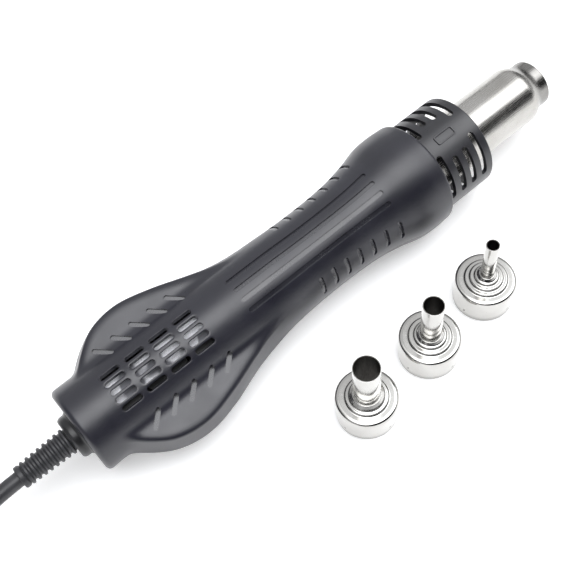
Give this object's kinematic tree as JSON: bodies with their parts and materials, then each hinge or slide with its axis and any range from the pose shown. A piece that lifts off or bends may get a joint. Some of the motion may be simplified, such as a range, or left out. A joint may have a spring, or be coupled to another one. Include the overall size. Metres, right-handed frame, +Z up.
{
  "type": "hot air handpiece with nozzles",
  "caption": "Hot air rework handpiece with a built-in blower, winged vented grip, slotted guard, steel heater tube, loose nozzles and a coiled lead with a round plug.",
  "frame": {"origin": "on the bench top, under the middle of the box round the handpiece and the three nozzles, not counting the lead", "axes": "+X along the handpiece towards its nozzle seat, +Z up from the bench"},
  "size_m": [0.4086, 0.1547, 0.0487],
  "materials": {
    "shell_plastic": "satin moulded charcoal",
    "guard_plastic": "satin moulded black",
    "inner_plastic": "moulded black",
    "tube_steel": "satin drawn tube",
    "plain_steel": "plain",
    "screw_steel": "zinc plated",
    "nozzle_steel": "polished spun steel",
    "cord_rubber": "matt silicone rubber",
    "phenolic": "heat-proof laminate",
    "heater_ceramic": "unglazed",
    "heating_wire": "oxidised resistance wire",
    "mica": "layered mica",
    "bearing_bronze": "sintered bronze",
    "copper_winding": "enamelled copper",
    "magnet": "ferrite ring",
    "screen_foam": "pale open foam",
    "board_green": "solder mask",
    "reed_glass": "clear glass tube",
    "terminal_plastic": "moulded black",
    "wire_silicone": "red silicone wire",
    "plug_metal": "satin nickel",
    "pin_brass": "gold-flashed brass"
  },
  "bodies": {
    "handpiece": {"upper_shell": "shell_plastic", "lower_shell": "shell_plastic", "shell_screws": "screw_steel", "front_guard": "guard_plastic", "heater_tube": "tube_steel", "heater_bulkhead": "phenolic", "tube_flange": "plain_steel", "flange_screws": "screw_steel", "heater_seat": "heater_ceramic", "ceramic_core": "heater_ceramic", "heater_winding": "heating_wire", "temperature_sensor": "heater_ceramic", "mica_sleeve": "mica", "front_diffuser": "plain_steel", "tail_grommet": "shell_plastic", "strain_relief": "cord_rubber", "inner_cable": "cord_rubber", "cable_clamp": "inner_plastic", "clamp_screws": "screw_steel", "blower_housing": "inner_plastic", "blower_cover": "inner_plastic", "blower_screws": "screw_steel", "fan_bearing": "bearing_bronze", "fan_stator": "copper_winding", "inlet_screen": "screen_foam", "control_board": "board_green", "board_parts": "inner_plastic", "reed_switch": "reed_glass", "terminal_block": "terminal_plastic", "internal_leads": "wire_silicone", "heater_leads": "wire_silicone", "cord_lead": "cord_rubber", "cord_coil": "cord_rubber", "cord_tail": "cord_rubber", "plug_gland": "cord_rubber", "plug_body": "plug_metal", "plug_insert": "terminal_plastic", "plug_pins": "pin_brass"},
    "fan_rotor": {"impeller": "inner_plastic", "fan_magnet": "magnet", "fan_shaft": "plain_steel"},
    "plug_ring": {"coupling_ring": "plug_metal"},
    "large_nozzle": {"large_nozzle_cap": "nozzle_steel", "large_nozzle_outlet": "nozzle_steel", "large_nozzle_liner": "plain_steel"},
    "medium_nozzle": {"medium_nozzle_cap": "nozzle_steel", "medium_nozzle_outlet": "nozzle_steel", "medium_nozzle_liner": "plain_steel"},
    "small_nozzle": {"small_nozzle_cap": "nozzle_steel", "small_nozzle_outlet": "nozzle_steel", "small_nozzle_liner": "plain_steel"}
  },
  "joints": [
    {"name": "fan_spin", "type": "hinge", "parent": "handpiece", "child": "fan_rotor", "pos_m": [-0.0835, 0.0207, 0.02435], "axis": [0, -0.2419, 0.9703], "continuous": true},
    {"name": "large_nozzle_lift", "type": "slide", "parent": "handpiece", "child": "large_nozzle", "axis": [0, 0, 1], "range_m": [0, 0.06]},
    {"name": "medium_nozzle_lift", "type": "slide", "parent": "handpiece", "child": "medium_nozzle", "axis": [0, 0, 1], "range_m": [0, 0.06]},
    {"name": "small_nozzle_lift", "type": "slide", "parent": "handpiece", "child": "small_nozzle", "axis": [0, 0, 1], "range_m": [0, 0.06]},
    {"name": "plug_ring_turn", "type": "hinge", "parent": "handpiece", "child": "plug_ring", "pos_m": [-0.1675, 0.0935, 0.0096], "axis": [1, 0, 0], "continuous": true}
  ]
}
